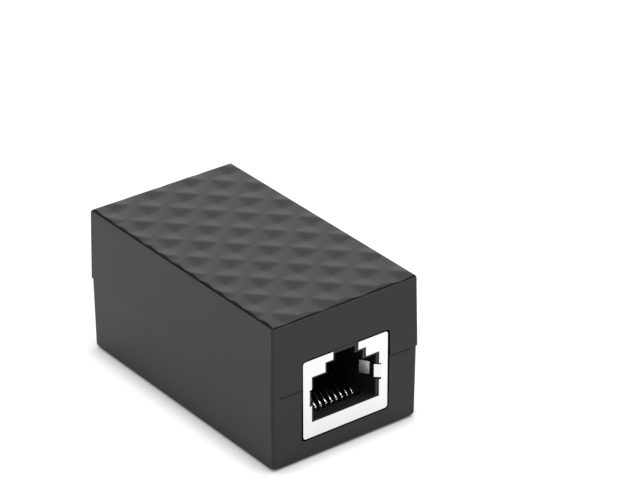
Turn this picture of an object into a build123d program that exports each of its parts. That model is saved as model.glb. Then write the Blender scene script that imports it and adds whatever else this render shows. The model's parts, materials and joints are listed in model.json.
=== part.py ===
from build123d import *
from math import atan, cos, degrees, pi, radians, sin, tan
import os

# Inline surge protector for shielded network leads: a two-shell housing with a socket in each end and, inside,
# a circuit board with eight arresters standing on it.
# Millimetres. X runs along the housing towards its near end, Y across it and Z up from its flat underside.

# Housing. Its length follows from the sockets and what stands between them.
width = 28.15            # upper shell at the seam, its largest outline
height = 25.3            # underside to the ridges of the relief
seam_z = 12.9
corner_radius = 0.5      # upright corners
upper_draft = 0.29       # each upper side leans in by this much at the top
lower_step = 0.25        # the lower shell stands in from the upper one at the seam
wall = 1.2
floor_thickness = 1.5
roof_thickness = 1.5     # below the deepest point of the relief
top_round = 0.8
bottom_round = 0.8

# Diamond relief on the top: sunken four-sided pyramids that run out into the rounded edge
relief_depth = 0.38
cell_half_x = 3.741      # half diagonals of one diamond
cell_half_y = 3.657
cell_origin_x = 1.41     # low point of one diamond
cell_origin_y = 3.33
ridge_land = 0.12        # flat top left between two diamonds, along X

# Lip joint at the seam
lip_thickness = 0.5
lip_height = 1.4
lip_clearance = 0.1
snap_radius = 0.3
snap_rise = 0.25         # how far a snap bead stands out of the lip
snap_z = 0.8             # above the seam
snap_length = 6.0
snap_spacing = 22.0      # between the two beads of one side

# Sockets
jack_recess = 0.2        # metal face behind the widest point of the housing's end
jack_width = 16.2
jack_height = 13.5
jack_bottom = 3.8
jack_round = 0.5
jack_clearance = 0.2     # around the metal face, in the end walls
near_jack_length = 16.0
far_jack_length = 18.7
sheet = 0.25             # tinplate
sheet_gap = 0.04         # between the tinplate and what lies against it
housing_chamfer = 0.15   # long edges of the plastic inside the shield's bends

# Socket opening, as cut in the metal face
opening_half = 6.47
opening_bottom = 6.42
shoulder_z = 14.32
step_half = 3.89
step_z = 15.97
latch_half = 2.41
latch_slot_depth = 0.8   # how far the latch slot runs back in the top of the shield
cavity_inset = 0.45      # the plastic edge inside the metal one
cavity_floor = 6.58
latch_bar = 0.55         # plastic bar above the latch slot
cavity_depth = 10.0
comb_depth = 1.5         # slots behind the cavity that take the tips of the contacts

# Side fingers of the shield
finger_z = 10.7
finger_width = 2.25
finger_relief = 0.3      # notch above and below each finger
finger_root = 6.9        # half distance between the two roots
finger_shelf = 6.1       # half distance between the level stretches behind the roots
finger_shelf_front = 0.8
finger_shelf_rear = 1.8
finger_tip = 5.1         # half distance between the two crests
finger_crest_depth = 3.4
finger_end_depth = 4.4
finger_end = 5.6
finger_gap = 0.25        # air around a finger in its pocket

# Contacts
contact_count = 8
contact_pitch = 1.016
contact_width = 0.38
contact_thickness = 0.3
contact_run_z = 5.57     # middle of the strip under the cavity
contact_apex_depth = 1.6 # where the run and the sprung end would meet if the turn were sharp
contact_angle = 36.0     # the sprung end, above level
contact_tip_depth = 10.9
contact_bend_radius = 0.4
tail_depth = 10.6        # first row of tails, behind the socket's front
tail_row_gap = 2.54
groove_clearance = 0.05
carrier_front = 3.4
sill_depth = 2.0
carrier_rear_wall = 1.0  # plastic behind the second row of tails

# Board
board_top = 4.87
board_thickness = 1.6
board_width = 19.4
near_overhang = 1.5      # how far each socket stands out over its end of the board
far_overhang = 4.2
lead_hole = 0.85
pin_hole = 0.8
via_hole = 0.8
via_x = 2.6
via_y = 1.07
tail_below = 0.8         # leads and tails below the board

# Shield lugs, in notches at the edges of the board
lug_width = 1.6
lug_inset = 0.6          # from the edge of the board to the middle of a lug
near_lug_depth = 8.3
far_lug_depth = 5.5
lug_clearance = 0.2

# Rear cover of each shield
ear_length = 4.1
ear_top = 8.8
window_length = 1.5
window_height = 0.9
window_z = 6.3
window_edge = 0.8        # from the rear of the socket to the window
barb_rise = 0.3

# Arresters
arrester_count = 4       # in each of two rows
arrester_pitch = 3.05
near_bay_gap = 1.31      # from the last arrester of a row to the socket beside it
far_bay_gap = 0.6
arrester_y = 8.1
arrester_radius = 1.37
arrester_neck = 1.0
arrester_bottom = 0.9    # above the board
arrester_length = 5.6
arrester_waist = 0.09    # depth of the line round the middle
end_cap_radius = 0.9
end_cap_height = 0.35
lead_radius = 0.3
lead_inner_y = 3.7
arch_top = 8.1           # middle of the wire above the board
arch_outer_radius = 0.8
arch_inner_radius = 2.1

# Flat sides of the round pieces, and steps of their bends, which are too small to need more
barrel_sides = 12
wire_sides = 6
hole_sides = 8
bend_steps = 4
edge_steps = 4

# Ribs
rib = 1.2
cradle_clearance = 0.1
cradle_seat = 0.6        # under the edge of the board
cradle_rise = 0.6        # above the board
near_cradle_inset = 2.9  # from each end of the board to the middle of its last cradle
far_cradle_inset = 5.8
stop_length = 1.2
stop_width = 1.3
press_clearance = 0.1    # between the roof ribs and the shields
press_depths = [4.5, 11.5]
press_width = 13.0

# Solder
joint_radius = 0.72
joint_tip_radius = 0.4
joint_height = 0.65

# Values that follow from the ones above
arrester_row = (arrester_count - 1) * arrester_pitch + 2 * arrester_radius
bay = near_bay_gap + arrester_row + far_bay_gap
length = 2 * jack_recess + near_jack_length + bay + far_jack_length
jack_front = length / 2 - jack_recess
board_near = jack_front - near_overhang
board_far = jack_front - far_overhang
arrester_middle_x = -jack_front + far_jack_length + far_bay_gap + arrester_row / 2
cradle_places = [-board_far + far_cradle_inset, arrester_middle_x, board_near - near_cradle_inset]
roof_under = height - relief_depth - roof_thickness
inner_inset = lower_step + wall
lip_inset = inner_inset - lip_thickness
jack_top = jack_bottom + jack_height
board_bottom = board_top - board_thickness
lug_y = board_width / 2 - lug_inset
lead_end = board_bottom - tail_below
second_tail_depth = tail_depth + tail_row_gap
contact_tip_z = contact_run_z + (contact_tip_depth - contact_apex_depth) * tan(radians(contact_angle))


def block(x_range, y_range, z_range):
    """A box between two planes on each axis."""
    sizes = [high - low for low, high in (x_range, y_range, z_range)]
    middle = [(high + low) / 2 for low, high in (x_range, y_range, z_range)]
    return Pos(*middle) * Box(*sizes)


def outline(z, inset):
    """The housing's outline at one height, set in on all four sides, with its rounded corners."""
    return Pos(0, 0, z) * RectangleRounded(length - 2 * inset, width - 2 * inset, corner_radius)


def inner_outline(z, inset):
    """The same outline with square corners, as the inside of the moulding has them."""
    return Pos(0, 0, z) * Rectangle(length - 2 * inset, width - 2 * inset)


def prism(radius, sides, rise):
    """An upright bar with this many flat sides, from Z = 0 up."""
    return extrude(RegularPolygon(radius, sides), rise)


def drafted(face, rise, lean):
    """A face run straight up, with every side leaning in by this much over the run."""
    return extrude(face, rise, taper=degrees(atan(lean / rise)))


def tapered_bar(lower, upper):
    """A closed bar of flat faces between two polygons with as many corners, the upper one listed alike."""
    count = len(lower)
    faces = [Face(Wire.make_polygon(lower)), Face(Wire.make_polygon(upper))]
    for i in range(count):
        j = (i + 1) % count
        faces.append(Face(Wire.make_polygon([lower[i], lower[j], upper[j], upper[i]])))
    return Solid(Shell(faces))


def ring_points(radius, sides, z):
    """Corners of a regular polygon at one height."""
    angles = [2 * pi * i / sides for i in range(sides)]
    return [(radius * cos(angle), radius * sin(angle), z) for angle in angles]


def bent_path(corners, radii):
    """Straight runs whose corners are rounded, each in a few flat steps along its arc."""
    corners = [Vector(*corner) for corner in corners]
    points = [corners[0]]
    for before, corner, after, radius in zip(corners, corners[1:], corners[2:], radii):
        back = (before - corner).normalized()
        ahead = (after - corner).normalized()
        half_angle = radians(back.get_angle(ahead)) / 2
        turn = pi - 2 * half_angle
        centre = corner + (back + ahead).normalized() * (radius / sin(half_angle))
        first = corner + back * (radius / tan(half_angle)) - centre
        last = corner + ahead * (radius / tan(half_angle)) - centre
        for step in range(bend_steps + 1):
            angle = turn * step / bend_steps
            points.append(centre + (first * sin(turn - angle) + last * sin(angle)) * (1 / sin(turn)))
    return Polyline(*points, corners[-1])


def jack_section(x, grow, radius):
    """The socket's outline across the housing, grown on all four sides."""
    place = Plane(origin=(x, 0, jack_bottom + jack_height / 2), x_dir=(0, 1, 0), z_dir=(1, 0, 0))
    return place * RectangleRounded(jack_width + 2 * grow, jack_height + 2 * grow, radius)


def edge_rounders(half_x, half_y, level, radius, side):
    """Bars that round the four edges of the top (side 1) or the underside (side -1) in a few flat steps."""
    angles = [pi / 2 * step / edge_steps for step in range(edge_steps + 1)]
    bars = []
    for plane, half, reach in ((Plane.YZ, half_y, half_x), (Plane.XZ, half_x, half_y)):
        points = [(half - radius * (1 - sin(a)), level - side * radius * (1 - cos(a))) for a in angles]
        points += [(half + radius, level - side * radius), (half + radius, level + side * radius)]
        points.append((half - radius, level + side * radius))
        for turn in (-1, 1):
            section = make_face(Polyline(*[(turn * u, v) for u, v in points], close=True))
            bars.append(extrude(plane * section, reach + radius, both=True))
    return bars


def end_windows():
    """The passage through both end walls that the sockets sit in."""
    section = jack_section(-length / 2, jack_clearance, jack_round + jack_clearance)
    return extrude(section, length)


# Housing shells

def diamond_cutters():
    """One upside-down pyramid for each diamond of the relief that reaches the flat of the top."""
    half_x = cell_half_x - ridge_land / 2
    half_y = half_x * cell_half_y / cell_half_x
    rim = Polygon((half_x, 0), (0, half_y), (-half_x, 0), (0, -half_y), align=None)
    pyramid = loft([rim, Vertex(0, 0, -relief_depth)], ruled=True)
    across = int(length / 2 / cell_half_x) + 2
    up = int(width / 2 / cell_half_y) + 2
    reach_x = length / 2 - upper_draft - top_round + half_x
    reach_y = width / 2 - upper_draft - top_round + half_y
    cutters = []
    for i in range(-across, across + 1):
        for j in range(-up, up + 1):
            x = cell_origin_x + i * cell_half_x
            y = cell_origin_y + j * cell_half_y
            if (i + j) % 2 == 0 and abs(x) < reach_x and abs(y) < reach_y:
                cutters.append(Pos(x, y, height) * pyramid)
    return cutters


def snap_rods(radius, extra_length):
    """Rods along the seam, two on each long side, for the snap beads and the grooves they click into."""
    y = width / 2 - lip_inset + snap_rise - snap_radius
    rod = Rot(0, 90, 0) * Cylinder(radius, snap_length + extra_length)
    return [
        Pos(x, side * y, seam_z + snap_z) * rod
        for x in (-snap_spacing / 2, snap_spacing / 2)
        for side in (-1, 1)
    ]


def upper_shell():
    """Roof, four walls with a rebate for the lip, and ribs that hold the sockets down."""
    shell = drafted(outline(seam_z, 0), height - seam_z, upper_draft)
    lean = upper_draft * (height - top_round - seam_z) / (height - seam_z)
    shell -= edge_rounders(length / 2 - lean, width / 2 - lean, height, top_round, 1)
    shell -= diamond_cutters()
    shell -= extrude(inner_outline(seam_z, inner_inset), roof_under - seam_z)
    shell -= extrude(inner_outline(seam_z, lip_inset - lip_clearance), lip_height + lip_clearance)
    shell -= snap_rods(snap_radius + lip_clearance, 2 * lip_clearance)
    rib_range = (jack_top + press_clearance, roof_under)
    for depth in press_depths:
        for side in (-1, 1):
            x = side * (jack_front - depth)
            shell += block((x - rib / 2, x + rib / 2), (-press_width / 2, press_width / 2), rib_range)
    return shell - end_windows()


def lower_shell():
    """Tray with a lip at the seam, ribs that cradle the board and stops behind its far end."""
    shell = extrude(outline(0, lower_step), seam_z)
    shell -= edge_rounders(length / 2 - lower_step, width / 2 - lower_step, 0, bottom_round, -1)
    shell -= extrude(inner_outline(floor_thickness, inner_inset), seam_z - floor_thickness)
    lip = extrude(inner_outline(seam_z, lip_inset), lip_height)
    shell += lip - extrude(inner_outline(seam_z, inner_inset), lip_height)
    shell += snap_rods(snap_radius, 0)
    inner_y = width / 2 - inner_inset
    edge_y = board_width / 2
    for x in cradle_places:
        for side in (-1, 1):
            x_range = (x - rib / 2, x + rib / 2)
            seat = block(x_range, (edge_y - cradle_seat, inner_y), (floor_thickness, board_bottom))
            guide = block(
                x_range,
                (edge_y + cradle_clearance, inner_y),
                (floor_thickness, board_top + cradle_rise),
            )
            stepped_rib = seat + guide
            shell += stepped_rib if side > 0 else mirror(stepped_rib, Plane.XZ)
    stop_x = -board_far - cradle_clearance
    for side in (-1, 1):
        y_range = sorted((side * (edge_y - stop_width), side * edge_y))
        shell += block((stop_x - stop_length, stop_x), y_range, (floor_thickness, board_top))
    return shell - end_windows()


# Sockets. Each is drawn with its front at X = 0 and runs back along -X.

def opening_outline(inset, floor_z, top_z):
    """The stepped opening that a plug and its latch go through, drawn across the housing."""
    points = [
        (-opening_half + inset, floor_z),
        (-opening_half + inset, shoulder_z - inset),
        (-step_half + inset, shoulder_z - inset),
        (-step_half + inset, step_z - inset),
        (-latch_half + inset, step_z - inset),
        (-latch_half + inset, top_z),
    ]
    points += [(-y, z) for y, z in reversed(points)]
    return Plane.YZ * make_face(Polyline(*points, close=True))


def across(face, front_depth, rear_depth):
    """A face drawn across the housing, run from one depth behind the socket's front to another."""
    return extrude(Pos(-rear_depth, 0, 0) * face, rear_depth - front_depth, dir=(1, 0, 0))


def finger(side):
    """A strip of the metal face folded back in two steps into the cavity, with its end turned out again."""
    bent = FilletPolyline(
        (-sheet / 2, finger_root + 2 * sheet),
        (-sheet / 2, finger_root),
        (-finger_shelf_front, finger_shelf),
        (-finger_shelf_rear, finger_shelf),
        (-finger_crest_depth, finger_tip),
        (-finger_end_depth, finger_end),
        radius=sheet,
    )
    strip = extrude(trace(bent, sheet), finger_width)
    strip = Pos(0, 0, finger_z - finger_width / 2) * strip
    return strip if side > 0 else mirror(strip, Plane.XZ)


def lug(lug_depth, side):
    """A tab of the shield's side, folded out over the board and down through its edge."""
    inner_y = jack_width / 2 - sheet
    outer_y = lug_y + sheet / 2
    bottom = board_top + sheet_gap
    profile = Polyline(
        (inner_y, bottom),
        (outer_y - sheet, bottom),
        (outer_y - sheet, lead_end),
        (outer_y, lead_end),
        (outer_y, bottom + sheet),
        (inner_y, bottom + sheet),
        close=True,
    )
    section = Plane.YZ * make_face(profile)
    strip = across(section, lug_depth - lug_width / 2, lug_depth + lug_width / 2)
    return strip if side > 0 else mirror(strip, Plane.XZ)


def shield(jack_length, lug_depth, overhang):
    """Face, top and two sides of one folded sheet, open at the rear and over the board."""
    rear = jack_length - sheet - sheet_gap
    body = across(jack_section(0, 0, jack_round), 0, rear)
    body -= across(jack_section(0, -sheet, jack_round - sheet), sheet, rear)
    below = (jack_bottom - sheet, board_top + sheet_gap)
    half = jack_width / 2
    body -= block((-rear, -overhang + sheet_gap), (-half, half), below)
    body -= across(opening_outline(0, opening_bottom, jack_top), 0, sheet)
    slot_range = (jack_top - 2 * sheet, jack_top)
    body -= block((-latch_slot_depth, 0), (-latch_half, latch_half), slot_range)
    notch_half = finger_width / 2 + finger_relief
    body -= block((-sheet, 0), (-finger_root, finger_root), (finger_z - notch_half, finger_z + notch_half))
    for side in (-1, 1):
        body += finger(side)
        body += lug(lug_depth, side)
        barb_y = sorted((side * half, side * (half + barb_rise)))
        barb_x = -jack_length + window_edge + window_length / 2
        barb_half = window_length / 2 - 2 * sheet
        barb_z = (window_z - window_height / 4, window_z + window_height / 4)
        body += block((barb_x - barb_half, barb_x + barb_half), barb_y, barb_z)
    return body


def rear_cover(jack_length):
    """Folded sheet over the rear, with two ears whose windows hook on the shield's barbs."""
    half = jack_width / 2 + sheet_gap + sheet
    bottom = board_top + sheet_gap
    plate = block((-jack_length, -jack_length + sheet), (-half, half), (bottom, jack_top))
    for side in (-1, 1):
        y_range = sorted((side * (half - sheet), side * half))
        plate += block((-jack_length, -jack_length + ear_length), y_range, (bottom, ear_top))
        window_x = (-jack_length + window_edge, -jack_length + window_edge + window_length)
        window_range = (window_z - window_height / 2, window_z + window_height / 2)
        plate -= block(window_x, y_range, window_range)
    return plate


def insert_housing(jack_length, overhang):
    """Black moulding that fills the shield, with the stepped cavity, finger pockets and comb slots."""
    gap = sheet + sheet_gap
    rear = jack_length - gap
    half = jack_width / 2 - gap
    body = block((-rear, -gap), (-half, half), (board_top, jack_top - gap))
    body = chamfer(body.edges().filter_by(Axis.X).group_by(Axis.Z)[-1], housing_chamfer)
    sole = block((-overhang + 2 * sheet_gap, -gap), (-half, half), (jack_bottom + gap, board_top))
    body += chamfer(sole.edges().filter_by(Axis.X).group_by(Axis.Z)[0], housing_chamfer)
    boss_half = latch_half - sheet_gap
    boss = (jack_top - gap, jack_top - sheet_gap)
    body += block((-latch_slot_depth + sheet_gap, -gap), (-boss_half, boss_half), boss)
    cavity = opening_outline(cavity_inset, cavity_floor, jack_top - latch_bar)
    body -= across(cavity, 0, cavity_depth)
    pocket_z = finger_z - finger_width / 2 - finger_gap, finger_z + finger_width / 2 + finger_gap
    pocket_half = finger_root + 2 * finger_gap
    pocket_rear = -finger_end_depth - 2 * finger_gap
    body -= block((pocket_rear, 0), (-pocket_half, pocket_half), pocket_z)
    # the bay for the contact carrier, open to the board and to the cavity
    bay_half = carrier_half() + groove_clearance
    bay_rear = -carrier_rear() - groove_clearance
    body -= block((bay_rear, -sill_depth), (-bay_half, bay_half), (board_top, cavity_floor + groove_clearance))
    slot_half = contact_width / 2 + 2 * groove_clearance
    slot_top = contact_tip_z + contact_thickness * 2
    for y in contact_places():
        x_range = (-cavity_depth - comb_depth, -cavity_depth)
        body -= block(x_range, (y - slot_half, y + slot_half), (cavity_floor, slot_top))
    return body


def contact_places():
    """Y of each contact, from one side of the socket to the other."""
    return [(i - (contact_count - 1) / 2) * contact_pitch for i in range(contact_count)]


def contact_tail_depth(index):
    """Neighbouring contacts go to two different rows of holes."""
    return tail_depth if index % 2 == 0 else second_tail_depth


def carrier_half():
    """Half the width of the contact carrier: the contacts and one pitch on each side."""
    return (contact_count + 1) / 2 * contact_pitch + contact_width


def carrier_rear():
    """Depth of the carrier's rear face."""
    return second_tail_depth + carrier_rear_wall


def contact_carrier():
    """Block under the cavity that holds the contacts in grooves open at the top."""
    half = carrier_half()
    body = block((-carrier_rear(), -carrier_front), (-half, half), (board_top, cavity_floor))
    groove_bottom = contact_run_z - contact_thickness / 2
    slot_half = contact_width / 2 + groove_clearance
    tail_half = contact_thickness / 2 + groove_clearance
    for index, y in enumerate(contact_places()):
        rear = -contact_tail_depth(index) - tail_half
        y_range = (y - slot_half, y + slot_half)
        body -= block((rear, -carrier_front), y_range, (groove_bottom, cavity_floor))
        body -= block((rear, rear + 2 * tail_half), y_range, (board_top, groove_bottom))
    return body


def contact(index, y):
    """A strip that comes up from the board, runs forward, turns over and springs up and back."""
    tail = contact_tail_depth(index)
    half = contact_thickness / 2
    path = bent_path(
        [
            (-tail, y, contact_run_z),
            (-contact_apex_depth, y, contact_run_z),
            (-contact_tip_depth, y, contact_tip_z),
        ],
        [contact_bend_radius],
    )
    start = Plane(origin=path @ 0, x_dir=(0, 1, 0), z_dir=path % 0)
    section = start * Rectangle(contact_width, contact_thickness)
    strip = sweep(section, path=path, transition=Transition.RIGHT)
    y_range = (y - contact_width / 2, y + contact_width / 2)
    return strip + block((-tail - half, -tail + half), y_range, (lead_end, contact_run_z + half))


# Board and arresters

def lug_places():
    """Middle of each lug notch, with the side of the board that it is cut in."""
    near_x = jack_front - near_lug_depth
    far_x = -jack_front + far_lug_depth
    return [(x, side) for x in (near_x, far_x) for side in (-1, 1)]


def pin_places():
    """Every contact tail of both sockets, on the board."""
    places = []
    for index, y in enumerate(contact_places()):
        x = jack_front - contact_tail_depth(index)
        places += [(x, y), (-x, -y)]
    return places


def arrester_places():
    """X of each arrester and the side of the board that its row stands on."""
    middle = (arrester_count - 1) / 2
    xs = [arrester_middle_x + (i - middle) * arrester_pitch for i in range(arrester_count)]
    return [(x, side) for side in (-1, 1) for x in xs]


def lead_places():
    """Both holes of each arrester, on the board."""
    return [(x, side * y) for x, side in arrester_places() for y in (arrester_y, lead_inner_y)]


def circuit_board():
    """Board with a hole for each lead and tail, two plated holes and a notch for each lug."""
    edge_y = board_width / 2
    x_range = (-board_far, board_near)
    body = block(x_range, (-edge_y, edge_y), (board_bottom, board_top))
    holes = [(x, y, pin_hole) for x, y in pin_places()]
    holes += [(x, y, lead_hole) for x, y in lead_places()]
    holes += [(via_x, side * via_y, via_hole) for side in (-1, 1)]
    body -= [Pos(x, y, board_bottom) * prism(size / 2, hole_sides, board_thickness) for x, y, size in holes]
    for x, side in lug_places():
        notch_half = lug_width / 2 + lug_clearance
        y_range = sorted((side * (lug_y - sheet / 2 - lug_clearance), side * edge_y))
        body -= block((x - notch_half, x + notch_half), y_range, (board_bottom, board_top))
    return body


def arrester_body():
    """Glass barrel with a line round its middle, standing on Z."""
    bottom = board_top + arrester_bottom
    top = bottom + arrester_length
    middle = (bottom + top) / 2
    shoulder = arrester_radius - arrester_neck
    profile = [
        (arrester_neck, bottom),
        (arrester_radius, bottom + shoulder),
        (arrester_radius, middle - arrester_waist),
        (arrester_radius - arrester_waist, middle),
        (arrester_radius, middle + arrester_waist),
        (arrester_radius, top - shoulder),
        (arrester_neck, top),
    ]
    return loft([Pos(0, 0, z) * RegularPolygon(radius, barrel_sides) for radius, z in profile], ruled=True)


def lower_lead():
    """End cap and straight wire below the barrel."""
    cap_bottom = board_top + arrester_bottom - end_cap_height
    cap = Pos(0, 0, cap_bottom) * prism(end_cap_radius, barrel_sides, end_cap_height)
    return cap + Pos(0, 0, lead_end) * prism(lead_radius, wire_sides, cap_bottom - lead_end)


def upper_lead():
    """End cap and wire that arches over from the barrel to its own hole, towards -Y."""
    top = board_top + arrester_bottom + arrester_length
    span = arrester_y - lead_inner_y
    arch_z = board_top + arch_top
    path = bent_path(
        [(0, 0, top + end_cap_height), (0, 0, arch_z), (0, -span, arch_z), (0, -span, lead_end)],
        [arch_outer_radius, arch_inner_radius],
    )
    section = Plane(path @ 0) * RegularPolygon(lead_radius, wire_sides)
    wire = sweep(section, path=path, transition=Transition.RIGHT)
    return wire + Pos(0, 0, top) * prism(end_cap_radius, barrel_sides, end_cap_height)


def solder_cone(x, y, hole):
    """A fillet of solder under the board, round what comes through it."""
    foot = ring_points(joint_radius, hole_sides, 0)
    tip = ring_points(joint_tip_radius, hole_sides, -joint_height)
    return Pos(x, y, board_bottom) * (tapered_bar(foot, tip) - hole)


def socket_solder(side):
    """The joints of one socket: its eight tails and its two lugs."""
    tail = Box(contact_thickness, contact_width, 3 * joint_height)
    joints = [solder_cone(x, y, tail) for x, y in pin_places() if x * side > 0]
    for x, lug_side in lug_places():
        if x * side > 0:
            joints.append(lug_solder(x, lug_side))
    return Compound(children=joints)


def lug_solder(x, side):
    """Solder round a lug, where it comes through its notch."""
    foot_x = lug_width / 2 + lug_inset
    tip_x = lug_width / 2 + lug_inset / 2
    foot = [(u * foot_x, v * lug_inset, 0) for u, v in ((-1, -1), (1, -1), (1, 1), (-1, 1))]
    tip = [(a * tip_x / foot_x, b / 2, -joint_height) for a, b, _ in foot]
    hole = Box(lug_width, sheet, 3 * joint_height)
    return Pos(x, side * lug_y, board_bottom) * (tapered_bar(foot, tip) - hole)


def arrester_solder():
    """The joints of all the arrester leads."""
    wire = Pos(0, 0, -joint_height) * prism(lead_radius, wire_sides, 2 * joint_height)
    return Compound(children=[solder_cone(x, y, wire) for x, y in lead_places()])


# One file for each piece
os.makedirs("parts", exist_ok=True)


def write(shape, node):
    export_step(shape, f"parts/{node}.step")


write(upper_shell(), "upper_shell")
write(lower_shell(), "lower_shell")
write(circuit_board(), "circuit_board")

near_place = Pos(jack_front, 0, 0)
far_place = Pos(-jack_front, 0, 0) * Rot(0, 0, 180)
for end, place, jack_length, lug_depth, overhang in (
    ("near", near_place, near_jack_length, near_lug_depth, near_overhang),
    ("far", far_place, far_jack_length, far_lug_depth, far_overhang),
):
    write(place * shield(jack_length, lug_depth, overhang), f"{end}_shield")
    write(place * rear_cover(jack_length), f"{end}_rear_cover")
    write(place * insert_housing(jack_length, overhang), f"{end}_insert_housing")
    write(place * contact_carrier(), f"{end}_contact_carrier")
    for index, y in enumerate(contact_places()):
        write(place * contact(index, y), f"{end}_contact_{index + 1}")

barrel = arrester_body()
straight_lead = lower_lead()
arched_lead = upper_lead()
for number, (x, side) in enumerate(arrester_places(), start=1):
    place = Pos(x, side * arrester_y, 0)
    turn = Rot(0, 0, 0 if side > 0 else 180)
    write(place * barrel, f"arrester_{number}_body")
    write(place * straight_lead, f"arrester_{number}_lower_lead")
    write(place * turn * arched_lead, f"arrester_{number}_upper_lead")

write(socket_solder(1), "near_socket_solder")
write(socket_solder(-1), "far_socket_solder")
write(arrester_solder(), "arrester_solder")
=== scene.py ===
# %% [markdown]
# # An inline surge protector for a network lead
# The object is a black moulded box, 49 mm long, with a diamond relief on its roof and a shielded socket in
# each end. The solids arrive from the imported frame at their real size. These cells light them, dress them and
# add the softness and grain that a real moulding, a folded sheet and a drawn wire have.

# %% Load the frame
import json
import math
import bmesh
import bpy
import numpy as np
from mathutils import Matrix, Vector


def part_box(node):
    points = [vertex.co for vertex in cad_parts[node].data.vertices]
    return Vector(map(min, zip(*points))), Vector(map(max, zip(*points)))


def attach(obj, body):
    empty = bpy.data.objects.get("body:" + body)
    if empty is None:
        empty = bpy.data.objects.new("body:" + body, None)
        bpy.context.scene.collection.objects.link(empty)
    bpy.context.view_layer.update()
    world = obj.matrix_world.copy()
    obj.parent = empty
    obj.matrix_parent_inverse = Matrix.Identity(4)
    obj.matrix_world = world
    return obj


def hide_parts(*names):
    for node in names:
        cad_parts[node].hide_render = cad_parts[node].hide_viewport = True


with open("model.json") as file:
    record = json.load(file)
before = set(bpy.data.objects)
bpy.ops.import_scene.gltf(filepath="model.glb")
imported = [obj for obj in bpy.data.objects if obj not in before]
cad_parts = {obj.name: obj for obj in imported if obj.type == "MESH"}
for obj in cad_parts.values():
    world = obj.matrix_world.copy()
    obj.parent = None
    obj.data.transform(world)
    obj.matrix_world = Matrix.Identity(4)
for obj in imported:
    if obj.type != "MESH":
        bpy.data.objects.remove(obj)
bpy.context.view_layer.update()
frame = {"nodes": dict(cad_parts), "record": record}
scene = bpy.context.scene
MM = 0.001

# %% [markdown]
# ## The camera
# The picture that this model follows was taken with a long lens from half a metre away, so the box's edges
# hardly converge. A pinhole camera fitted to the box's outline gives the direction, distance and lens. The
# camera could be turned with a track constraint, but three axes written as vectors keep its roll exact.

# %% Camera
CAMERA_AZIMUTH = 52.686     # degrees, 0 looks along +Y
CAMERA_ELEVATION = 28.031
CAMERA_ROLL = -0.092
CAMERA_DISTANCE = 488.0 * MM
CAMERA_RIGHT = 10.783 * MM  # how far the camera's axis passes beside and above the origin
CAMERA_UP = 22.395 * MM
FOCAL_PIXELS = 3065.0
PICTURE_WIDTH = 640.0
SENSOR_WIDTH = 36.0         # millimetres, as the lens is
CLIP_NEAR = 10 * MM
CLIP_FAR = 20.0


def camera_axes(azimuth, elevation, roll):
    """Right, up and back of a camera: back points from the object to the lens, right lies level, and both
    right and up then turn by the roll."""
    a, e, r = (math.radians(angle) for angle in (azimuth, elevation, roll))
    back = Vector((math.sin(a) * math.cos(e), -math.cos(a) * math.cos(e), math.sin(e)))
    level = Vector((math.cos(a), math.sin(a), 0.0))
    upright = back.cross(level)
    right = level * math.cos(r) + upright * math.sin(r)
    return right, back.cross(right), back


def add_camera():
    """Places the camera and makes it the scene's own."""
    right, up, back = camera_axes(CAMERA_AZIMUTH, CAMERA_ELEVATION, CAMERA_ROLL)
    data = bpy.data.cameras.new("camera")
    data.sensor_width = SENSOR_WIDTH
    data.lens = SENSOR_WIDTH * FOCAL_PIXELS / PICTURE_WIDTH
    data.clip_start = CLIP_NEAR
    data.clip_end = CLIP_FAR
    camera = bpy.data.objects.new("camera", data)
    turn = Matrix((right, up, back)).transposed().to_4x4()
    place = right * CAMERA_RIGHT + up * CAMERA_UP + back * CAMERA_DISTANCE
    camera.matrix_world = Matrix.Translation(place) @ turn
    scene.collection.objects.link(camera)
    bpy.context.scene.camera = camera
    return camera


camera = add_camera()
print("camera lens", round(camera.data.lens, 1), "mm at", [round(c, 3) for c in camera.location])

# %% [markdown]
# ## Writing shaders as sums
# A material is a web of nodes. Wiring it by hand hides the sum that it works out, so one small class wraps a
# socket, and an expression such as `1 - mask * 0.3` adds the Math nodes by itself.

# %% Values
class Value:
    """A socket's output. Arithmetic on it adds Math nodes to the same web."""

    def __init__(self, web, socket):
        self.web = web
        self.socket = socket

    def math(self, operation, first, second):
        """A Math node of two numbers or values."""
        return self.web.node("ShaderNodeMath", {"operation": operation}, {0: first, 1: second})

    def __add__(self, other):
        return self.math("ADD", self, other)

    def __radd__(self, other):
        return self.math("ADD", other, self)

    def __sub__(self, other):
        return self.math("SUBTRACT", self, other)

    def __rsub__(self, other):
        return self.math("SUBTRACT", other, self)

    def __mul__(self, other):
        return self.math("MULTIPLY", self, other)

    def __rmul__(self, other):
        return self.math("MULTIPLY", other, self)


print("a value takes +, - and *, with a number or a value on either side")

# %% [markdown]
# ## One method for every other node
# Every other node comes from one method, which takes the node's type, its settings and what feeds its
# sockets. The room around the object needs it as much as a material does, so it sits in a class of its own.
# Short methods beside it write what both kinds of web use most.

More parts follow.
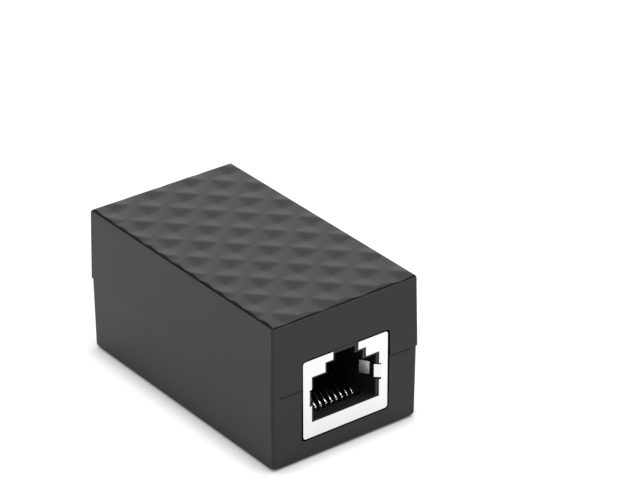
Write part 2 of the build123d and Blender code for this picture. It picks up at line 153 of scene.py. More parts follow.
# %% Webs of nodes
class Web:
    """A web of nodes around one shader, whose sockets take values."""

    def __init__(self, tree, shader):
        self.tree = tree
        self.shader = tree.nodes[shader]

    def node(self, kind, settings=None, inputs=None, output=0):
        """Adds a node of one type, sets its settings, then gives its sockets numbers, colours or values."""
        node = self.tree.nodes.new(kind)
        for name, value in (settings or {}).items():
            setattr(node, name, value)
        for name, value in (inputs or {}).items():
            if isinstance(value, Value):
                self.tree.links.new(value.socket, node.inputs[name])
            else:
                node.inputs[name].default_value = value
        return Value(self, node.outputs[output])

    def part(self, vector, axis):
        """One of the three numbers of a vector."""
        return self.node("ShaderNodeSeparateXYZ", {}, {"Vector": vector}, output=axis)

    def rise(self, value, start, end, low=0.0, high=1.0, way="LINEAR"):
        """Low before the start, high after the end, and between them a straight line or, with SMOOTHSTEP, a
        soft S."""
        inputs = {"Value": value, "From Min": start, "From Max": end, "To Min": low, "To Max": high}
        return self.node("ShaderNodeMapRange", {"clamp": True, "interpolation_type": way}, inputs)

    def feed(self, **values):
        """Links values to the shader's own sockets."""
        for name, value in values.items():
            self.tree.links.new(value.socket, self.shader.inputs[name.replace("_", " ")])


print("a web adds any node and feeds its shader")

# %% [markdown]
# ## What a finish adds
# A finish is a web around the Principled shader. Numbers that are the same all over the surface go on its
# sockets at once. What varies reads the piece's own coordinates, because the pattern then stays where it is
# on the piece, in every view and in the exported model.

# %% Finishes
class Finish(Web):
    """A material being written, with constants on its shader's sockets."""

    def __init__(self, name, **constants):
        self.material = bpy.data.materials.new(name)
        self.material.use_nodes = True
        super().__init__(self.material.node_tree, "Principled BSDF")
        for socket, value in constants.items():
            self.shader.inputs[socket.replace("_", " ")].default_value = value
        self.place = self.node("ShaderNodeTexCoord", output="Object")

    def noise(self, size, detail=2.0, roughness=0.5, place=None):
        """Smooth noise from 0 to 1 whose blotches are about this many metres across."""
        where = place or self.place
        inputs = {"Vector": where, "Scale": 1.0 / size, "Detail": detail, "Roughness": roughness}
        return self.node("ShaderNodeTexNoise", {}, inputs)

    def spread(self, value, low, high):
        """A value from 0 to 1 laid over another range, held inside it."""
        return self.rise(value, 0.0, 1.0, low, high)

    def stretch(self, scale):
        """Object coordinates, squeezed or drawn out along each axis."""
        return self.node("ShaderNodeMapping", {}, {"Vector": self.place, "Scale": scale})

    def mixed(self, factor, first, second):
        """Two colours mixed."""
        inputs = {"Factor": factor, 6: first, 7: second}
        return self.node("ShaderNodeMix", {"data_type": "RGBA"}, inputs, output=2)

    def bump(self, height, distance):
        """A surface raised by a height from 0 to 1 over this many metres."""
        return self.node("ShaderNodeBump", {}, {"Height": height, "Distance": distance})


def grey(level):
    """A neutral colour."""
    return (level, level, level, 1.0)


def toned(colour, factor):
    """A colour made darker or lighter, at most white."""
    return tuple(min(1.0, part * factor) for part in colour) + (1.0,)


print("a grey", grey(0.5), "and the same made lighter", toned(grey(0.5)[:3], 1.2))

# %% [markdown]
# ## Black moulded plastic
# The housing is ABS from a spark-eroded mould: nearly black, so that most of what one sees is the bright room
# mirrored in its satin skin. Its gloss drifts a little where the melt flowed, and the grain is a bump from
# fine noise. The upper part of the roof's rounded edge is rubbed smooth. The sockets' own plastic is a paler,
# smoother grade. The walls of the narrow gaps round the sockets get painted shade: a near-black, matt colour
# that barely mirrors, for the shade inside the gaps.

# %% Moulded plastic
PLASTIC_IOR = 1.44
MELT_FLOW = 9 * MM          # size of the blotches in which colour and gloss drift
DARKER, LIGHTER = 0.8, 1.2  # how far the colour drifts
GLOSS_DRIFT = 0.05          # how far the roughness drifts to both sides
RUBBED = 0.10               # roughness of an edge that hands have polished
RUBBED_FADE = 0.04 * MM


def moulded_plastic(name, colour, roughness, grain_size, grain_depth, rubbed=None, mirror=0.5):
    """Satin plastic: colour and gloss are sums of a wide drift and a fine speck, and the speck is the grain.
    Where an edge is rubbed smooth, the roughness falls between two heights. Mirror is the specular level."""
    finish = Finish(name, IOR=PLASTIC_IOR, Specular_IOR_Level=mirror)
    drift = finish.noise(MELT_FLOW, detail=3.0)
    speck = finish.noise(grain_size, detail=3.0, roughness=0.6)
    shade = finish.spread(drift, 0.0, 1.0) * 0.6 + speck * 0.4
    satin = finish.spread(speck * 0.5 + drift * 0.5, roughness - GLOSS_DRIFT, roughness + GLOSS_DRIFT)
    if rubbed:
        height = finish.part(finish.place, "Z")
        past_low, past_high = (
            finish.rise(height, level - RUBBED_FADE, level + RUBBED_FADE) for level in rubbed)
        satin = satin - past_low * (1 - past_high) * (roughness - RUBBED)
    finish.feed(
        Base_Color=finish.mixed(shade, toned(colour, DARKER), toned(colour, LIGHTER)),
        Roughness=satin,
        Normal=finish.bump(speck, grain_depth),
    )
    return finish.material


black_abs = moulded_plastic(
    "black_abs",
    colour=(0.0082, 0.0086, 0.0087),
    roughness=0.36,
    grain_size=0.22 * MM,
    grain_depth=0.006 * MM,
    rubbed=(24.60 * MM, 24.86 * MM),
)
jack_plastic = moulded_plastic(
    "jack_plastic",
    colour=(0.020, 0.020, 0.0205),
    roughness=0.30,
    grain_size=0.12 * MM,
    grain_depth=0.003 * MM,
)
# painted shade for the walls of the narrow gaps round the sockets, where little light gets in or back out
painted_gap_shade = moulded_plastic(
    "painted_gap_shade",
    colour=(0.001, 0.001, 0.001),
    roughness=0.9,
    grain_size=0.3 * MM,
    grain_depth=0.003 * MM,
    mirror=0.05,
)
print("plastics", black_abs.name, jack_plastic.name, painted_gap_shade.name)

# %% [markdown]
# ## Bright metals
# The sockets' shields are nickel-plated sheet: almost white where they mirror the room, with faint rolling
# lines along the sheet. The contacts are bright near the sockets' mouths and painted near-black further in,
# a painted shade for the dark inside of the sockets. Leads and joints are tin.

# %% Metals
LINE_SIZE = 0.25 * MM
CLOUD_SIZE = 3 * MM
DULLER, CLEANER = 0.92, 1.04    # how far the colour goes down and up
GLOSSIER, ROUGHER = 0.7, 1.4    # and the roughness
# painted shade: the near-black colour of the contacts deep inside the sockets, where shade falls
PAINTED_WIRE_SHADE = (0.03, 0.027, 0.022, 1.0)


def bright_metal(name, colour, roughness, lines, line_depth, painted_shade_fade=None):
    """Polished plate with fine lines drawn along one axis and a slight cloud in its gloss. Where a painted
    shade is given, it is painted near-black up to the first of two distances from the middle, for the shade
    deep in a socket, and clean from the second."""
    finish = Finish(name, Metallic=1.0)
    streak = finish.noise(LINE_SIZE, detail=2.0, place=finish.stretch(lines))
    cloud = finish.noise(CLOUD_SIZE, detail=3.0)
    shade = finish.mixed(cloud * 0.7 + streak * 0.3, toned(colour, DULLER), toned(colour, CLEANER))
    if painted_shade_fade:
        along = finish.part(finish.place, "X")
        from_middle = finish.node("ShaderNodeMath", {"operation": "ABSOLUTE"}, {0: along})
        shade = finish.mixed(finish.rise(from_middle, *painted_shade_fade), PAINTED_WIRE_SHADE, shade)
    finish.feed(
        Base_Color=shade,
        Roughness=finish.spread(streak * 0.5 + cloud * 0.5, roughness * GLOSSIER, roughness * ROUGHER),
        Normal=finish.bump(streak, line_depth),
    )
    return finish.material


tinplate = bright_metal(
    "tinplate",
    colour=(0.985, 0.98, 0.955),
    roughness=0.22,
    lines=(0.15, 1.0, 0.15),
    line_depth=0.002 * MM,
)
# the contacts: painted shade makes them near-black closer to the middle than 20.75 mm
gold_plate = bright_metal(
    "gold_plate",
    colour=(1.0, 0.97, 0.88),
    roughness=0.22,
    lines=(0.2, 1.0, 0.2),
    line_depth=0.001 * MM,
    painted_shade_fade=(20.75 * MM, 21.1 * MM),
)
tinned_wire = bright_metal(
    "tinned_wire",
    colour=(0.80, 0.80, 0.78),
    roughness=0.28,
    lines=(1.0, 1.0, 0.1),
    line_depth=0.002 * MM,
)
solder = bright_metal(
    "solder",
    colour=(0.74, 0.74, 0.73),
    roughness=0.34,
    lines=(1.0, 1.0, 1.0),
    line_depth=0.01 * MM,
)
print("metals", tinplate.name, gold_plate.name, tinned_wire.name, solder.name)

# %% [markdown]
# ## Board and arresters
# Both are sealed inside, but they are dressed too: the board in green lacquer with the shade of the
# laminate's weave, and the arresters in mottled red lacquer over glass, under a clear coat.

# %% Board and arresters
WEAVE = 0.6 * MM


def board_lacquer():
    """Green lacquer over a woven laminate: two crossed waves give the weave."""
    finish = Finish("green_board", Coat_Weight=0.4, Coat_Roughness=0.15)
    waves = [
        finish.node(
            "ShaderNodeTexWave",
            {"wave_type": "BANDS", "bands_direction": axis},
            {"Vector": finish.place, "Scale": 1 / WEAVE / math.tau},
        )
        for axis in ("X", "Y")
    ]
    weave = waves[0] * waves[1]
    cloud = finish.noise(6 * MM)
    shade = weave * 0.4 + cloud * 0.6
    finish.feed(
        Base_Color=finish.mixed(shade, (0.010, 0.13, 0.05, 1.0), (0.02, 0.24, 0.09, 1.0)),
        Roughness=finish.spread(cloud, 0.28, 0.42),
        Normal=finish.bump(weave, 0.004 * MM),
    )
    return finish.material


def arrester_lacquer():
    """Red lacquer over glass, mottled, under a clear coat."""
    finish = Finish("red_glass", Coat_Weight=0.6, Coat_Roughness=0.1)
    mottle = finish.noise(0.8 * MM, detail=3.0)
    finish.feed(
        Base_Color=finish.mixed(mottle, (0.42, 0.03, 0.012, 1.0), (0.70, 0.10, 0.03, 1.0)),
        Roughness=finish.spread(mottle, 0.2, 0.38),
        Normal=finish.bump(mottle, 0.006 * MM),
    )
    return finish.material


green_board = board_lacquer()
red_glass = arrester_lacquer()
print("lacquers", green_board.name, red_glass.name)

# %% [markdown]
# ## Dressing the solids
# The record of the part says which finish each solid has. The mesh stays as it is, and only its finish
# changes.

# %% Dress the solids
finishes = {
    "black_abs": black_abs,
    "jack_plastic": jack_plastic,
    "tinplate": tinplate,
    "gold_plate": gold_plate,
    "tinned_wire": tinned_wire,
    "solder": solder,
    "green_board": green_board,
    "red_glass": red_glass,
}
slot_of = {row["node"]: row["material_slot"] for row in frame["record"]["subparts"]}
for name, piece in frame["nodes"].items():
    piece.data.materials.clear()
    piece.data.materials.append(finishes[slot_of[name]])
print("dressed", len(frame["nodes"]), "nodes with", len(finishes), "finishes")

# %% [markdown]
# ## The relief of the roof
# The roof of the moulding is a field of sunken diamonds that runs out into an edge rounded by 0.8 mm. The
# solids have the diamonds flat-sided and the rounding in four flat steps. A bevel would soften those steps
# but not make the wavy border where the two meet, so the roof is worked out instead, with one height for
# every point of a grid. Its lines follow the diamonds, so that ridges and low points fall on them.

# %% Relief
HEIGHT = 25.3 * MM
HALF_LENGTH = 24.45 * MM
HALF_WIDTH = 14.075 * MM
DRAFT = 0.29 * MM           # how far the upper walls lean in over their height
EDGE = 0.8 * MM             # radius of the rounded edges
CELL = np.array([3.741, 3.657]) * MM
LOW_POINT = np.array([1.41, 3.33]) * MM
RELIEF = 0.38 * MM
SOFT = 0.055                # how round a ridge or valley is, as a share of the relief's depth
CELL_STEPS = 18             # grid lines in half a diamond
FREE_END = 0.4              # steps left free before the line at the reach itself
BORDER_SOFT = 0.03 * MM     # how round the border is where relief and rounding meet


def relief_height(x, y):
    """Sunken pyramids: along the two diagonals a distance runs from 0 in a low point to 1 on a ridge, the
    height is the larger of the two, and the square root of a sum of squares rounds the creases."""
    a = (x - LOW_POINT[0]) / CELL[0]
    b = (y - LOW_POINT[1]) / CELL[1]
    s = np.abs((a + b) - 2 * np.round((a + b) / 2))
    t = np.abs((a - b) - 2 * np.round((a - b) / 2))
    larger = (s + t + np.sqrt((s - t) ** 2 + SOFT)) / 2
    ridge = np.sqrt((1 - larger) ** 2 + SOFT ** 2) - SOFT
    return HEIGHT - RELIEF * np.clip(ridge, 0, 1)


def softly_lower(first, second):
    """The lower of two heights: half their sum less half the root of their squared difference and the
    squared softness, which rounds the crease between them."""
    return (first + second - np.sqrt((first - second) ** 2 + BORDER_SOFT ** 2)) / 2


def grid_lines(cell, low_point, reach):
    """Places across the roof: every fraction of a diamond inside the reach, and the reach at both ends."""
    step = cell / CELL_STEPS
    first = math.ceil((-reach - low_point) / step + FREE_END)
    last = math.floor((reach - low_point) / step - FREE_END)
    return np.concatenate([[-reach], low_point + step * np.arange(first, last + 1), [reach]])


roof_reach = np.array([HALF_LENGTH, HALF_WIDTH]) - DRAFT - EDGE
lines_x = grid_lines(CELL[0], LOW_POINT[0], roof_reach[0])
lines_y = grid_lines(CELL[1], LOW_POINT[1], roof_reach[1])
print("roof grid", len(lines_x), "by", len(lines_y), "lines")

# %% [markdown]
# ## Rings
# The rounded edges of both shells are closed rows of points, one above the other. Every row has the same
# number of points in the same order, so the faces between two rows can be counted out for all rows at once.

# %% Rings
def ring(half_x, half_y, corner, lines_x, lines_y, turns=6):
    """One closed row of points: four straight sides, whose points keep their shares of the side, and four
    arcs of a circle between them. Counter-clockwise, starting at the lower end of the +X side."""
    share_x = lines_x / lines_x[-1] * (half_x - corner)
    share_y = lines_y / lines_y[-1] * (half_y - corner)
    angle = np.linspace(0, math.pi / 2, turns + 2)[1:-1]
    runs = []
    for quarter, (share, out, centre) in enumerate((
        (share_y, half_x, (half_x - corner, half_y - corner)),
        (share_x[::-1], half_y, (-half_x + corner, half_y - corner)),
        (share_y[::-1], -half_x, (-half_x + corner, -half_y + corner)),
        (share_x, -half_y, (half_x - corner, -half_y + corner)),
    )):
        level = np.full(len(share), out)
        side = np.stack([level, share] if quarter % 2 == 0 else [share, level], axis=1)
        turn = angle + quarter * math.pi / 2
        arc = np.array(centre) + corner * np.stack([np.cos(turn), np.sin(turn)], axis=1)
        runs += [side, arc]
    return np.concatenate(runs)


def ring_faces(count, rows):
    """Four-sided faces between neighbouring rings, as whole arrays of point numbers."""
    row, column = np.meshgrid(np.arange(rows - 1), np.arange(count), indexing="ij")
    after = (column + 1) % count
    lower, upper = row * count, (row + 1) * count
    return np.stack([lower + column, lower + after, upper + after, upper + column], axis=-1).reshape(-1, 4)


print("faces between three rings of four points", ring_faces(4, 3).shape[0])

# %% [markdown]
# ## Working on copies of the solids
# The walls, windows and insides of the shells are right as they are. So a copy of each solid is merged, cut
# level beside its rounded edge and closed again with a worked-out surface. Bridging the two open rims welds
# them. A boolean could join the two as well, but it leaves thin slivers where surfaces nearly coincide.

# %% Copies of solids
TOUCHING = 0.002 * MM       # points closer than this are one
ON_PLANE = 0.0001 * MM
FLAT = math.radians(0.3)    # triangles that turn less than this are one face


def merged_copy(node):
    """A copy of a CAD node, its loose triangles joined at their corners and, where flat, into one face."""
    work = bmesh.new()
    work.from_mesh(frame["nodes"][node].data)
    bmesh.ops.remove_doubles(work, verts=work.verts, dist=TOUCHING)
    bmesh.ops.dissolve_limit(work, angle_limit=FLAT, verts=work.verts, edges=work.edges)
    return work


def cut(work, place, normal, clear=True):
    """Cuts along a plane and, if wanted, clears away the side that its normal points to."""
    parts = work.verts[:] + work.edges[:] + work.faces[:]
    bmesh.ops.bisect_plane(
        work, geom=parts, dist=ON_PLANE, plane_co=place, plane_no=normal, clear_outer=clear)


def move_points(work, moved):
    """Gives all the points to a function as one array of places, and puts back the places that it returns."""
    mesh = bpy.data.meshes.new("points")
    work.to_mesh(mesh)
    place = np.empty(len(mesh.vertices) * 3)
    mesh.vertices.foreach_get("co", place)
    mesh.vertices.foreach_set("co", moved(place.reshape(-1, 3)).ravel())
    work.clear()
    work.from_mesh(mesh)
    bpy.data.meshes.remove(mesh)


def add_patch(work, points, faces):
    """Puts a worked-out surface into the mesh being edited, beside what is there."""
    patch = bpy.data.meshes.new("patch")
    patch.from_pydata(points.tolist(), [], faces)
    work.from_mesh(patch)
    bpy.data.meshes.remove(patch)


def weld_rims(work):
    """Merges what meets, joins the two open rims with a band of faces, and turns all faces outwards."""
    bmesh.ops.remove_doubles(work, verts=work.verts, dist=TOUCHING)
    rims = [edge for edge in work.edges if len(edge.link_faces) == 1]
    bmesh.ops.bridge_loops(work, edges=rims)
    bmesh.ops.recalc_face_normals(work, faces=work.faces)
    left_open = sum(len(edge.link_faces) != 2 for edge in work.edges)
    print(len(work.faces), "faces,", len(rims), "rim edges welded,", left_open, "left open")


print("points closer than", TOUCHING, "m are merged")

# %% [markdown]
# ## Finishing a piece
# Each worked-out piece takes the place of one solid. It is smooth except over its hard creases, and a
# Weighted Normal modifier lets the large faces rule the shading, so that flat walls look flat beside their
# rounded edges.

# %% Finish a piece
CREASE = math.radians(32)   # an edge that turns more than this stays hard


def finish_piece(work, name, node, *coats):
    """Makes the edited mesh a piece that stands for a node, at the origin and with one or more finishes."""
    mesh = bpy.data.meshes.new(name)
    work.to_mesh(mesh)
    work.free()
    mesh.shade_smooth()
    mesh.set_sharp_from_angle(angle=CREASE)
    for coat in coats:
        mesh.materials.append(coat)
    piece = bpy.data.objects.new(name, mesh)
    scene.collection.objects.link(piece)
    weighted = piece.modifiers.new("weighted normals", "WEIGHTED_NORMAL")
    weighted.keep_sharp = True
    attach(piece, "root")
    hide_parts(node)
    return piece


print("hard creases from", round(math.degrees(CREASE)), "degrees")

# %% [markdown]
# ## The windows in the end walls
# Each socket looks out of a window that is partly in the upper and partly in the lower shell. On the real one
# a dark line of air shows round the shield. A dark frame could be drawn there, but a real gap stays right from
# every side. So the windows are opened a little at the walls' outer faces, and their cut edges also get painted
# shade, a near-black matt colour, because so narrow a gap hardly lets light back out.

# %% Windows
SEAM = 12.9 * MM            # height at which the shells meet
GAP = 0.2 * MM              # between a socket's shield and its window in the solids
GAP_WIDER = 0.12 * MM
NEARBY = 0.05 * MM          # two heights closer than this are one
WALL_FACE = 0.6 * MM        # how far inside the box's end a point still belongs to the wall's outer face
WINDOW_DEPTH = 1.6 * MM
WINDOW_RIM = 0.5 * MM       # how far beside the shield a window's edge may lie
CROSSWISE = 0.5             # a face whose normal has less of X than this faces across

shield_low, shield_high = (np.array(corner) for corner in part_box("near_shield"))


def widened_windows(place):
    """In the outer face of an end wall, points that lie inside the window's reach move away from its middle
    by one fixed distance, sideways, and also up or down unless they lie on the seam."""
    from_middle = place - (shield_low + shield_high) / 2
    reach = (shield_high - shield_low) / 2 + GAP + NEARBY
    in_wall = np.abs(place[:, 0]) > HALF_LENGTH - WALL_FACE
    in_window = in_wall & np.all(np.abs(from_middle[:, 1:]) < reach[1:], axis=1)
    off_seam = np.abs(place[:, 2] - SEAM) > NEARBY
    moves = np.stack([np.zeros_like(in_wall), in_window, in_window & off_seam], axis=1)
    return place + np.where(moves, np.copysign(GAP_WIDER, from_middle), 0.0)


def shade_windows(piece):
    """Gives the second material, the painted shade of the gaps, to a window's walls: faces close to the shield
    that don't face along X.
    """
    faces = piece.data.polygons
    centre, normal = np.empty((2, len(faces) * 3))
    faces.foreach_get("center", centre)
    faces.foreach_get("normal", normal)
    x, y, z = centre.reshape(-1, 3).T
    crosswise = np.abs(normal.reshape(-1, 3)[:, 0]) < CROSSWISE
    beside = np.abs(y) < shield_high[1] + WINDOW_RIM
    level = (z > shield_low[2] - WINDOW_RIM) & (z < shield_high[2] + WINDOW_RIM)
    shaded = crosswise & beside & level & (np.abs(x) > HALF_LENGTH - WINDOW_DEPTH)
    faces.foreach_set("material_index", shaded.astype(np.int32))
    print(piece.name, "has", int(shaded.sum()), "faces in its windows")


print("shield from", shield_low, "to", shield_high)

# %% [markdown]
# ## The upper shell
# The upper shell is the cover with the relief, and its walls lean in by the mould's draft. Its rounded edge
# could come from a Bevel modifier, but the relief runs out into it in waves. So rings of points climb the
# rounding and carry the grid of the relief inside them, and the lowest ring is welded to the walls.

# %% Upper shell
CORNER = 0.5 * MM           # radius of the upright edges at the seam
ROOF_RINGS = 16
ROOF_START = 0.25 * MM      # the rings begin this far below the rounded edge
ROOF_CUT = 0.5 * MM         # and the solid ends this far below it


def roof_rings():
    """Rings up the rounded edge. In section they lie on a quarter circle: inwards by the sine of an angle,
    upwards by its cosine, and lowered where the relief is lower."""
    rises = np.linspace(math.pi / 2, 0, ROOF_RINGS)[1:]
    insets = np.concatenate([[0.0, 0.0], EDGE * (1 - np.sin(rises))])
    levels = np.concatenate([[-EDGE - ROOF_START, -EDGE], -EDGE * (1 - np.cos(rises))]) + HEIGHT
    rows = []
    for inset, level in zip(insets, levels):
        lean = DRAFT * (min(level, HEIGHT - EDGE) - SEAM) / (HEIGHT - SEAM)
        half_x, half_y = HALF_LENGTH - lean - inset, HALF_WIDTH - lean - inset
        if inset == insets[-1]:
            half_x, half_y = roof_reach
        flat = ring(half_x, half_y, max(CORNER - lean - inset, 0.0), lines_x, lines_y)
        height = np.full(len(flat), level)
        if inset > 0:
            height = softly_lower(height, relief_height(flat[:, 0], flat[:, 1]))
        rows.append(np.column_stack([flat, height]))
    return rows


def roof_grid():
    """The field inside the rings: a height for every crossing of the two sets of lines, and the squares."""
    x, y = np.meshgrid(lines_x, lines_y, indexing="ij")
    z = softly_lower(HEIGHT, relief_height(x, y))
    i, j = np.meshgrid(np.arange(len(lines_x) - 1), np.arange(len(lines_y) - 1), indexing="ij")
    corner = i * len(lines_y) + j
    across = corner + len(lines_y)
    squares = np.stack([corner, across, across + 1, corner + 1], axis=-1)
    return np.stack([x, y, z], axis=-1).reshape(-1, 3), squares.reshape(-1, 4)


def roof_surface():
    """The rings and the grid inside them as one surface."""
    rows = roof_rings()
    rings = np.concatenate(rows)
    grid, squares = roof_grid()
    faces = np.concatenate([ring_faces(len(rows[0]), len(rows)), squares + len(rings)])
    return np.concatenate([rings, grid]), faces.tolist()


work = merged_copy("upper_shell")
cut(work, (0, 0, HEIGHT - EDGE - ROOF_CUT), (0, 0, 1))
move_points(work, widened_windows)
add_patch(work, *roof_surface())
weld_rims(work)
upper_shell = finish_piece(work, "upper_shell_moulded", "upper_shell", black_abs, painted_gap_shade)
shade_windows(upper_shell)

# %% [markdown]
# ## The lower shell
# The tray's walls lean the other way, in towards the table, and its bottom edges are rounded, more so round
# the corners. The solid has straight walls with the rounding in flat steps. The copy's outer walls are leaned
# by moving their points, and rings of points make the rounding, closed by one flat face to stand on. On the
# end walls the seam gapes a little, as it does on the real one.

# %% Lower shell
LOWER_STEP = 0.25 * MM      # the solid's lower wall stands this much further in than the upper one
WALL_SKIN = 0.3 * MM        # how far inside its face a point still belongs to the wall's outer side
STEP_OUT = 0.09 * MM        # at the seam the wall stands this much further out than the solid's
STEP_IN = 0.04 * MM         # and at the table this much further in
CORNER_GROWTH = 3.5         # of the corners' radius, for each millimetre further round the edge
BASE_RINGS = 9
BASE_LINES = (41, 25)       # points along the sides
BASE_TURNS = 8              # points round a corner
BASE_START = 0.1 * MM       # the rings begin this far above the rounded edge
BASE_CUT = 0.3 * MM         # and the solid ends this far above it
SEAM_LINE = 11.8 * MM       # the seam on an end wall gapes between these places
SEAM_GAP = 0.32 * MM
RIM_LEVEL = 0.02 * MM       # a point this close to the seam's height lies on the rim
RIM_WIDTH = 0.1 * MM


def wall_shift(z):
    """How far the lower wall stands out from the solid's, in a straight line from the table to the seam."""
    return -STEP_IN + (STEP_IN + STEP_OUT) * z / SEAM


def leaned_walls(place):
    """The points of the outer walls move out or in by their height's share, the others stay."""
    moved = place.copy()
    for axis, half in ((0, HALF_LENGTH), (1, HALF_WIDTH)):
        outside = np.abs(place[:, axis]) > half - LOWER_STEP - WALL_SKIN
        moved[:, axis] += np.where(outside, np.sign(place[:, axis]) * wall_shift(place[:, 2]), 0.0)
    return moved


def gaping_seam(place):
    """The rim's outer edge on the end walls moves down, so that the seam shows there as a fine dark line."""
    x, y, z = np.abs(place).T
    on_rim = (np.abs(z - SEAM) < RIM_LEVEL) & (x > HALF_LENGTH - LOWER_STEP - RIM_WIDTH)
    gapes = on_rim & (y < SEAM_LINE + NEARBY)
    return place - np.outer(gapes, (0.0, 0.0, SEAM_GAP))


def base_surface():
    """Rings down the rounded edge, a quarter circle in section, and the flat that the tray stands on."""
    rises = np.linspace(math.pi / 2, 0, BASE_RINGS)
    insets = np.concatenate([[0.0], EDGE * (1 - np.sin(rises))])
    levels = np.concatenate([[EDGE + BASE_START], EDGE * (1 - np.cos(rises))])
    sides = [np.linspace(-1, 1, count) for count in BASE_LINES]
    rows = []
    for inset, level in zip(insets, levels):
        out = wall_shift(level) - LOWER_STEP - inset
        corner = CORNER + CORNER_GROWTH * inset
        flat = ring(HALF_LENGTH + out, HALF_WIDTH + out, corner, *sides, turns=BASE_TURNS)
        rows.append(np.column_stack([flat, np.full(len(flat), level)]))
    count = len(rows[0])
    underside = list(range(count * (len(rows) - 1), count * len(rows)))
    return np.concatenate(rows), ring_faces(count, len(rows)).tolist() + [underside]


work = merged_copy("lower_shell")
move_points(work, leaned_walls)
cut(work, (0, 0, EDGE + BASE_CUT), (0, 0, -1))
move_points(work, widened_windows)
for side in (-1, 1):
    cut(work, (0, side * SEAM_LINE, 0), (0, 1, 0), clear=False)
move_points(work, gaping_seam)
add_patch(work, *base_surface())
weld_rims(work)
lower_shell = finish_piece(work, "lower_shell_moulded", "lower_shell", black_abs, painted_gap_shade)
shade_windows(lower_shell)

# %% [markdown]
# ## The contacts
# Each contact is one plated wire: a tail through the board, a run forward under the cavity, a tight turn at
# the front and a sprung end that rises to the rear. The solids are square in section. Here a rounded section
# is carried along a line of the same form, because the round flanks catch the light that makes such contacts
# glint. The line lies half a millimetre higher and further back than the solids, where the glints are seen.

# %% Contacts
JACK_FRONT = 24.25 * MM
WIRE = np.array([0.19, 0.15]) * MM      # half width and half thickness
RUN_LEVEL = 6.05 * MM
APEX_DEPTH = 2.1 * MM                   # behind the socket's front
TIP_DEPTH = 10.9 * MM
TIP_SLOPE = math.tan(math.radians(36))  # of the sprung end
BEND = 0.4 * MM


def bent_line(corners, radius, turns=7):
    """A line of straight runs in the XZ plane whose corners are arcs. An arc's points are the two tangent
    directions mixed by the sines of the angles to both ends."""
    rows = [corners[:1]]
    for before, corner, after in zip(corners, corners[1:], corners[2:]):
        back = (before - corner) / np.linalg.norm(before - corner)
        ahead = (after - corner) / np.linalg.norm(after - corner)
        half = math.acos(float(back @ ahead)) / 2
        turn = math.pi - 2 * half
        centre = corner + (back + ahead) / np.linalg.norm(back + ahead) * radius / math.sin(half)
        first = corner + back * radius / math.tan(half) - centre
        last = corner + ahead * radius / math.tan(half) - centre
        angle = np.linspace(0, turn, turns)[:, None]
        rows.append(centre + (first * np.sin(turn - angle) + last * np.sin(angle)) / math.sin(turn))
    return np.concatenate(rows + [corners[-1:]])


def swept_wire(line, y, sides=12, squareness=3.0):
    """A superellipse carried along a line in the XZ plane, square to it: its width lies along Y."""
    step = np.gradient(line, axis=0)
    along = step / np.linalg.norm(step, axis=1, keepdims=True)
    square = np.stack([-along[:, 1], along[:, 0]], axis=1)
    turn = np.arange(sides) * math.tau / sides
    wide = WIRE[0] * np.sign(np.cos(turn)) * np.abs(np.cos(turn)) ** (2 / squareness)
    thick = WIRE[1] * np.sign(np.sin(turn)) * np.abs(np.sin(turn)) ** (2 / squareness)
    x = line[:, :1] + square[:, :1] * thick
    z = line[:, 1:] + square[:, 1:] * thick
    points = np.stack([x, np.broadcast_to(y + wide, x.shape), z], axis=-1).reshape(-1, 3)
    last = len(points) - sides
    ends = [list(range(sides))[::-1], list(range(last, last + sides))]
    return points, ring_faces(sides, len(line)).tolist() + ends


def add_contact(end, sign, number):
    """One wire beside its solid's place: its tail and its place across come from the solid's own box."""
    node = f"{end}_contact_{number}"
    low, high = (np.array(corner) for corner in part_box(node))
    tail = low[0] + WIRE[1] if sign > 0 else high[0] - WIRE[1]
    corners = np.array([
        [tail, low[2]],
        [tail, RUN_LEVEL],
        [sign * (JACK_FRONT - APEX_DEPTH), RUN_LEVEL],
        [sign * (JACK_FRONT - TIP_DEPTH), RUN_LEVEL + (TIP_DEPTH - APEX_DEPTH) * TIP_SLOPE],
    ])
    work = bmesh.new()
    add_patch(work, *swept_wire(bent_line(corners, BEND), (low[1] + high[1]) / 2))
    bmesh.ops.recalc_face_normals(work, faces=work.faces)
    return finish_piece(work, f"{node}_wire", node, gold_plate)


contacts = [
    add_contact(end, sign, number)
    for end, sign in (("near", 1), ("far", -1))
    for number in range(1, 9)
]
print("contacts", len(contacts), "wires of", len(contacts[0].data.polygons), "faces")

# %% [markdown]
# ## The room
# A black and glossy thing shows little but its surroundings. The camera sees a white room, and what scatters
# light gets a plain level of it. What mirrors the room finds a white wall behind the object, whose light
# rises with height, and on the other sides a dim room with a bright strip low down. The dim room is what the
# rounded edges of the roof mirror as a dark line. Real walls would do too, but a brightness that follows the
# direction is easier to tune, and the camera doesn't catch it.

# %% Room
ROOM_LIGHT = 0.62                   # on what scatters light
MIRRORED_WALL = 1.22
WALL_FADE = (0.80, 0.43)            # share of it at the table, and how much more straight up
WALL_SIDE = (-0.795, 0.607, 0.0)    # from the object to the middle of the white wall
WALL_END = (0.46, 0.80)             # cosines of the angles from it at which the dim room and full white begin
MIRRORED_HORIZON = 2.6              # the bright strip low down
HORIZON_END = (0.04, 0.22)          # sines of the heights at which it begins to fade and ends
MIRRORED_ROOM = 0.04


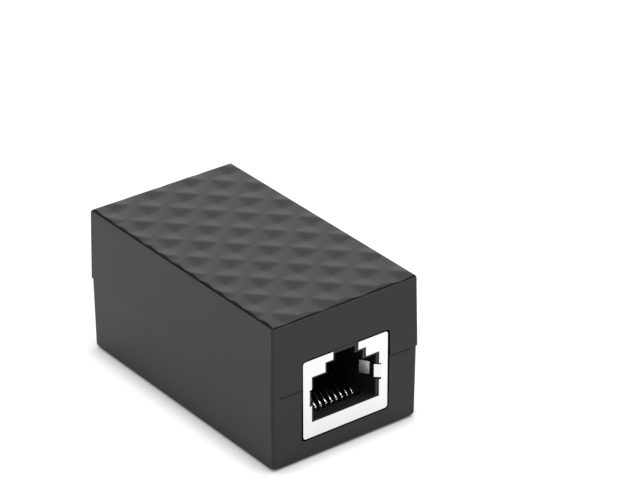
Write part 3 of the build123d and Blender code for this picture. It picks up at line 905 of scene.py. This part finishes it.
def add_room():
    """World: white to the camera and through clear things, a plain level of light on what scatters it, and in
    reflections the wall where the direction's cosine from its middle is high, else the strip or dim room."""
    world = bpy.data.worlds.new("room")
    world.use_nodes = True
    room = Web(world.node_tree, "Background")
    rays = {name: room.node("ShaderNodeLightPath", output=name) for name in (
        "Is Camera Ray", "Is Glossy Ray", "Is Transmission Ray")}
    direction = room.node("ShaderNodeTexCoord", output="Generated")
    aside = room.node(
        "ShaderNodeVectorMath", {"operation": "DOT_PRODUCT"}, {0: direction, 1: WALL_SIDE}, output="Value")
    on_wall = room.rise(aside, *WALL_END, way="SMOOTHSTEP")
    height = room.part(direction, "Z")
    elsewhere = room.rise(height, *HORIZON_END, MIRRORED_HORIZON, MIRRORED_ROOM, way="SMOOTHSTEP")
    wall = (height * WALL_FADE[1] + WALL_FADE[0]) * MIRRORED_WALL
    mirrored = on_wall * wall + (1 - on_wall) * elsewhere
    seen = rays["Is Camera Ray"].math("MAXIMUM", rays["Is Camera Ray"], rays["Is Transmission Ray"])
    plain = (1 - seen) * (1 - rays["Is Glossy Ray"])
    room.feed(Strength=seen + rays["Is Glossy Ray"] * mirrored + plain * ROOM_LIGHT)
    room.shader.inputs["Color"].default_value = grey(1.0)
    return world


scene.world = add_room()
scene.view_settings.view_transform = "Standard"
print("room of", len(scene.world.node_tree.nodes), "nodes, seen with", scene.view_settings.view_transform)

# %% [markdown]
# ## The lamp
# One wide, soft lamp hangs above the object, a little to the right as the camera sees it, as a studio's light
# box does. A sun or a point lamp would draw hard shadows. The wide one lights the sides of the diamonds a
# little unequally, and the curved contacts mirror it as small glints.

# %% Lamp
LAMP_PLACE = (0.09, 0.12, 0.60)
LAMP_TARGET = (0.0, 0.0, 12 * MM)
LAMP_SIZE = 0.48
LAMP_POWER = 2.6


def add_lamp(name, place, target, size, power):
    """A square soft lamp, turned so that its back points away from what it lights."""
    data = bpy.data.lights.new(name, "AREA")
    data.shape = "SQUARE"
    data.size = size
    data.energy = power
    lamp = bpy.data.objects.new(name, data)
    away = (Vector(place) - Vector(target)).normalized()
    lamp.matrix_world = Matrix.Translation(place) @ away.to_track_quat("Z", "Y").to_matrix().to_4x4()
    scene.collection.objects.link(lamp)
    return lamp


lamp = add_lamp("overhead", LAMP_PLACE, LAMP_TARGET, LAMP_SIZE, LAMP_POWER)
print("lamp", lamp.name, "of", LAMP_POWER, "watts")

# %% [markdown]
# ## The floor
# The object stands on white paper, exposed so that the paper is just white. Part of that white is the paper's
# own glow towards the camera, which hides where it ends, and the rest is light that it catches. All the glow
# goes down close to the rounded underside, where little sky is open above the paper, and that keeps the tight
# shadow. What the box mirrors of the paper is also dimmer over a wider reach, as its own shade makes it.

# %% Floor
FLOOR_SIZE = 1.2
PAPER = 0.36
PAPER_ROUGHNESS = 0.9
FLOOR_GLOW = 0.80           # towards the camera
MIRRORED_GLOW = 0.65        # in reflections
SHADOW_REACH = 3.2 * MM
SHADOW_SAMPLES = 16
WIDE_REACH = 30 * MM        # the box dims the paper's reflection over this distance, by up to a share
WIDE_SHARE = 0.45
WIDE_SAMPLES = 8


def paper():
    """White paper: its glow is a sum over the kinds of ray, times the open sky close by."""
    finish = Finish(
        "paper",
        Roughness=PAPER_ROUGHNESS,
        Specular_IOR_Level=0.0,
        Base_Color=grey(PAPER),
        Emission_Strength=1.0,
    )
    camera_ray = finish.node("ShaderNodeLightPath", output="Is Camera Ray")
    glossy_ray = finish.node("ShaderNodeLightPath", output="Is Glossy Ray")
    wide, close = (
        finish.node("ShaderNodeAmbientOcclusion", {"samples": samples}, {"Distance": reach}, output="AO")
        for samples, reach in ((WIDE_SAMPLES, WIDE_REACH), (SHADOW_SAMPLES, SHADOW_REACH))
    )
    strength = camera_ray * FLOOR_GLOW + glossy_ray * (wide * WIDE_SHARE + (1 - WIDE_SHARE)) * MIRRORED_GLOW
    glow = strength * finish.spread(close, 0.0, 1.0)
    colour = finish.node("ShaderNodeCombineColor", {}, {"Red": glow, "Green": glow, "Blue": glow})
    finish.feed(Emission_Color=colour)
    return finish.material


def add_floor(half):
    """A flat square under the object, at the level of its underside."""
    mesh = bpy.data.meshes.new("floor")
    corners = [(-half, -half, 0), (half, -half, 0), (half, half, 0), (-half, half, 0)]
    mesh.from_pydata(corners, [], [(0, 1, 2, 3)])
    mesh.materials.append(paper())
    floor = bpy.data.objects.new("floor", mesh)
    scene.collection.objects.link(floor)
    return floor


floor = add_floor(FLOOR_SIZE / 2)
print("floor", round(floor.dimensions[0], 3), "m square")
